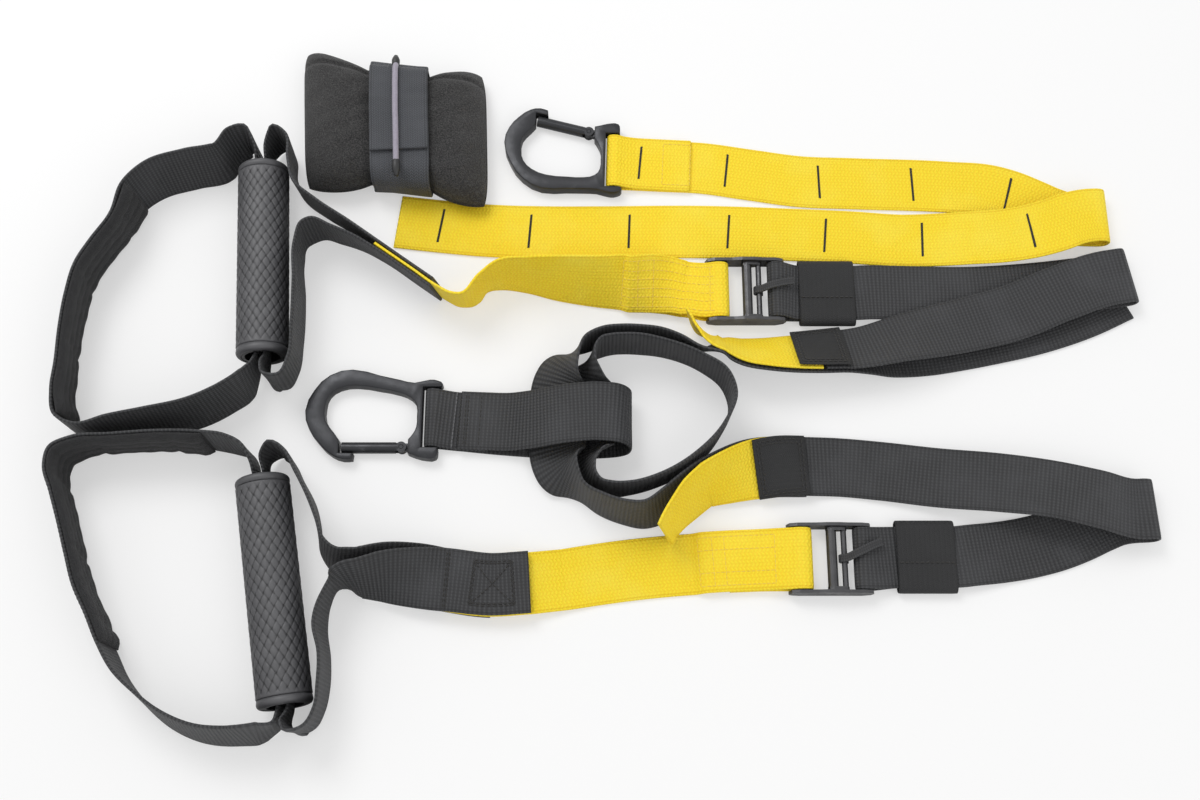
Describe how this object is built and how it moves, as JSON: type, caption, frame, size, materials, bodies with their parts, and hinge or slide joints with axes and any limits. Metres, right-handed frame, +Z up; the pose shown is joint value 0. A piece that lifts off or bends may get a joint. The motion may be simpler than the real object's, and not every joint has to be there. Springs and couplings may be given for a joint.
{
  "type": "suspension trainer",
  "caption": "Suspension trainer laid out flat: webbing straps with cam buckles, foot cradles on turning grips, carabiners with sprung gates, an extension strap and a strapped door pad.",
  "frame": {"origin": "middle of the layout's footprint, on the floor it lies on", "axes": "+X to the right along the laid straps, +Y away from the viewer towards the extension strap, +Z up"},
  "size_m": [0.6886, 0.462, 0.042],
  "materials": {
    "black_webbing": "ribbed flat-woven webbing, low sheen",
    "dark_steel": "satin dark plated sheet and rod",
    "felt": "charcoal felt with pale fibres",
    "grey_webbing": "plain grey woven strap",
    "grip_rubber": "moulded with a fine basket pattern",
    "gunmetal": "satin grey anodised or coated forging",
    "hard_plastic": "smooth black moulding",
    "tie_cord": "lilac-grey braided tie",
    "yellow_webbing": "ribbed flat-woven webbing, low sheen"
  },
  "bodies": {
    "root": {"adjust_strap_a": "black_webbing", "adjust_strap_b": "black_webbing", "anchor_carabiner_body": "gunmetal", "anchor_carabiner_gate_pin": "gunmetal", "anchor_loop": "black_webbing", "buckle_frame_a": "dark_steel", "buckle_frame_b": "dark_steel", "cam_pin_a": "dark_steel", "cam_pin_b": "dark_steel", "cradle_lining_a": "felt", "cradle_lining_b": "felt", "cradle_strap_a": "black_webbing", "cradle_strap_b": "black_webbing", "door_pad": "felt", "door_strap": "grey_webbing", "door_tie": "tie_cord", "extension_strap": "yellow_webbing", "handle_strap_a": "black_webbing", "handle_strap_b": "black_webbing", "keeper_a": "black_webbing", "keeper_b": "black_webbing", "leg_strap_a": "yellow_webbing", "leg_strap_b": "yellow_webbing", "main_carabiner_body": "gunmetal", "main_carabiner_gate_pin": "gunmetal", "main_strap": "black_webbing", "patch_a": "black_webbing", "patch_b": "black_webbing", "roller_a": "dark_steel", "roller_b": "dark_steel", "stabilizing_loop": "black_webbing", "tab_strap_a": "yellow_webbing", "tab_strap_b": "yellow_webbing"},
    "main_gate": {"main_carabiner_gate": "gunmetal"},
    "anchor_gate": {"anchor_carabiner_gate": "gunmetal"},
    "cam_a": {"cam_lever_a": "dark_steel", "pull_loop_a": "black_webbing"},
    "cam_b": {"cam_lever_b": "dark_steel", "pull_loop_b": "black_webbing"},
    "grip_a": {"grip_tube_a": "hard_plastic", "grip_sleeve_a": "grip_rubber", "grip_collar_far_a": "hard_plastic", "grip_collar_near_a": "hard_plastic"},
    "grip_b": {"grip_tube_b": "hard_plastic", "grip_sleeve_b": "grip_rubber", "grip_collar_far_b": "hard_plastic", "grip_collar_near_b": "hard_plastic"}
  },
  "joints": [
    {"name": "main_gate_hinge", "type": "hinge", "parent": "root", "child": "main_gate", "pos_m": [-0.12826, -0.04723, 0.0044], "axis": [0, 0, -1], "range_deg": [0, 25], "stiffness_Nm_per_rad": 0.3, "springref_deg": -17.19},
    {"name": "anchor_gate_hinge", "type": "hinge", "parent": "root", "child": "anchor_gate", "pos_m": [-0.01153, 0.17384, 0.0044], "axis": [0, 0, 1], "range_deg": [0, 25], "stiffness_Nm_per_rad": 0.3, "springref_deg": -17.19},
    {"name": "cam_hinge_a", "type": "hinge", "parent": "root", "child": "cam_a", "pos_m": [0.09158, 0.05822, 0.0065], "axis": [0, -1, 0], "range_deg": [0, 20], "stiffness_Nm_per_rad": 0.2, "springref_deg": -17.19},
    {"name": "cam_hinge_b", "type": "hinge", "parent": "root", "child": "cam_b", "pos_m": [0.13737, -0.118, 0.0065], "axis": [0, -1, 0], "range_deg": [0, 20], "stiffness_Nm_per_rad": 0.2, "springref_deg": -17.19},
    {"name": "grip_spin_a", "type": "hinge", "parent": "root", "child": "grip_a", "pos_m": [-0.22145, 0.0749, 0.0165], "axis": [0.0683, -0.9977, 0], "continuous": true},
    {"name": "grip_spin_b", "type": "hinge", "parent": "root", "child": "grip_b", "pos_m": [-0.19915, -0.13881, 0.0165], "axis": [0.1725, -0.985, 0], "continuous": true}
  ]
}
